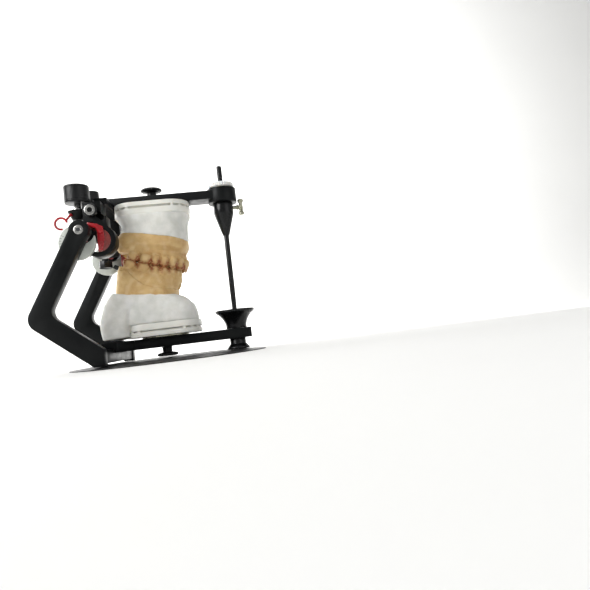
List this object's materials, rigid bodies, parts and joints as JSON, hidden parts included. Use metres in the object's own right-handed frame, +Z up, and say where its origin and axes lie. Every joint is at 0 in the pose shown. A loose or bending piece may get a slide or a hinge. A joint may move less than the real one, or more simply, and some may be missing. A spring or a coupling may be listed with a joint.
{
  "type": "dental articulator",
  "caption": "Semi-adjustable dental articulator: upper member hinged on condyle balls over a lower frame, incisal pin and table, and mounted upper and lower stone casts.",
  "frame": {"origin": "centre of the carrier plate's underside, on its locating bore", "axes": "+X to the incisal pin (front), +Y to the articulator's left, +Z up"},
  "size_m": [0.1948, 0.182, 0.1853],
  "materials": {
    "black_anodised": "satin black anodised",
    "steel": "turned",
    "nickel": "dull nickel plate",
    "magnet": "plated",
    "white_plastic": "moulded",
    "plaster": "cast plaster",
    "stone": "cast dental stone",
    "red_plastic": "moulded"
  },
  "bodies": {
    "lower_member": {"carrier_plate": "black_anodised", "lower_bar": "black_anodised", "lower_crossbeam": "black_anodised", "lower_bar_screws": "steel", "arm_dowels": "steel", "condyle_screws": "steel", "table_post": "black_anodised", "lower_holder": "steel", "lower_magnet": "magnet", "lower_base_plate": "white_plastic", "lower_counter_plate": "white_plastic", "lower_plaster": "plaster", "lower_cast": "stone", "arm_right": "black_anodised", "arm_left": "black_anodised", "condyle_right": "steel", "condyle_left": "steel"},
    "retainers": {"ball_retainer_right": "red_plastic", "ball_retainer_left": "red_plastic"},
    "upper_member": {"upper_bar": "black_anodised", "upper_crossbeam": "black_anodised", "upper_bar_screws": "steel", "guide_sleeve": "black_anodised", "upper_holder": "steel", "upper_magnet": "magnet", "upper_base_plate": "white_plastic", "upper_counter_plate": "white_plastic", "upper_plaster": "plaster", "upper_cast": "stone"},
    "lower_knob": {"lower_knob": "black_anodised"},
    "upper_knob": {"upper_knob": "black_anodised"},
    "centre_knob": {"centre_knob": "black_anodised"},
    "table": {"incisal_table": "black_anodised"},
    "pin": {"incisal_pin": "black_anodised"},
    "collar": {"pin_collar": "white_plastic"},
    "pin_lock": {"pin_lock_screw": "nickel"},
    "condylar_right": {"housing_right": "black_anodised", "fossa_insert_right": "red_plastic", "scale_dial_right": "white_plastic"},
    "lever_right": {"lock_lever_right": "red_plastic"},
    "clamp_right": {"clamp_knob_right": "black_anodised", "clamp_stem_right": "steel"},
    "side_lock_right": {"side_screw_right": "black_anodised"},
    "shift_right": {"shift_knob_right": "black_anodised"},
    "condylar_left": {"housing_left": "black_anodised", "fossa_insert_left": "red_plastic", "scale_dial_left": "white_plastic"},
    "lever_left": {"lock_lever_left": "red_plastic"},
    "clamp_left": {"clamp_knob_left": "black_anodised", "clamp_stem_left": "steel"},
    "side_lock_left": {"side_screw_left": "black_anodised"},
    "shift_left": {"shift_knob_left": "black_anodised"}
  },
  "joints": [
    {"name": "opening", "type": "hinge", "parent": "lower_member", "child": "retainers", "pos_m": [-0.0575, 0, 0.119], "axis": [0, -1, 0], "range_deg": [0, 100]},
    {"name": "protrusion", "type": "slide", "parent": "retainers", "child": "upper_member", "axis": [-0.9397, 0, 0.342], "range_m": [0, 0.005]},
    {"name": "table_turn", "type": "hinge", "parent": "lower_member", "child": "table", "pos_m": [0.065, 0, 0.0225], "axis": [0, 0, 1], "continuous": true},
    {"name": "lower_knob_turn", "type": "hinge", "parent": "lower_member", "child": "lower_knob", "pos_m": [-0.003, 0, 0.01], "axis": [0, 0, 1], "continuous": true},
    {"name": "upper_knob_turn", "type": "hinge", "parent": "upper_member", "child": "upper_knob", "pos_m": [-0.003, 0, 0.16], "axis": [0, 0, 1], "continuous": true},
    {"name": "centre_knob_turn", "type": "hinge", "parent": "upper_member", "child": "centre_knob", "pos_m": [-0.06, 0, 0.16], "axis": [0, 0, 1], "continuous": true},
    {"name": "pin_height", "type": "slide", "parent": "upper_member", "child": "pin", "axis": [0, 0, 1], "range_m": [0, 0.02]},
    {"name": "collar_turn", "type": "hinge", "parent": "upper_member", "child": "collar", "pos_m": [0.065, 0, 0.163], "axis": [0, 0, 1], "continuous": true},
    {"name": "pin_lock_turn", "type": "hinge", "parent": "upper_member", "child": "pin_lock", "pos_m": [0.075, 0, 0.1422], "axis": [1, 0, 0], "continuous": true},
    {"name": "inclination_right", "type": "hinge", "parent": "upper_member", "child": "condylar_right", "pos_m": [-0.0575, -0.0445, 0.119], "axis": [0, -1, 0], "range_deg": [0, 30]},
    {"name": "lever_swing_right", "type": "hinge", "parent": "condylar_right", "child": "lever_right", "pos_m": [-0.0664, -0.0495, 0.136], "axis": [0, 1, 0], "range_deg": [0, 30]},
    {"name": "clamp_turn_right", "type": "hinge", "parent": "condylar_right", "child": "clamp_right", "pos_m": [-0.062, -0.044, 0.15], "axis": [0, 0, 1], "continuous": true},
    {"name": "side_lock_turn_right", "type": "hinge", "parent": "upper_member", "child": "side_lock_right", "pos_m": [-0.04945, -0.05, 0.13796], "axis": [0, -1, 0], "continuous": true},
    {"name": "shift_turn_right", "type": "hinge", "parent": "condylar_right", "child": "shift_right", "pos_m": [-0.0615, -0.0396, 0.104], "axis": [0, 0, 1], "continuous": true},
    {"name": "inclination_left", "type": "hinge", "parent": "upper_member", "child": "condylar_left", "pos_m": [-0.0575, 0.0445, 0.119], "axis": [0, -1, 0], "range_deg": [0, 30]},
    {"name": "lever_swing_left", "type": "hinge", "parent": "condylar_left", "child": "lever_left", "pos_m": [-0.0664, 0.0495, 0.136], "axis": [0, 1, 0], "range_deg": [0, 30]},
    {"name": "clamp_turn_left", "type": "hinge", "parent": "condylar_left", "child": "clamp_left", "pos_m": [-0.062, 0.044, 0.15], "axis": [0, 0, 1], "continuous": true},
    {"name": "side_lock_turn_left", "type": "hinge", "parent": "upper_member", "child": "side_lock_left", "pos_m": [-0.04945, 0.05, 0.13796], "axis": [0, 1, 0], "continuous": true},
    {"name": "shift_turn_left", "type": "hinge", "parent": "condylar_left", "child": "shift_left", "pos_m": [-0.0615, 0.0396, 0.104], "axis": [0, 0, 1], "continuous": true}
  ]
}
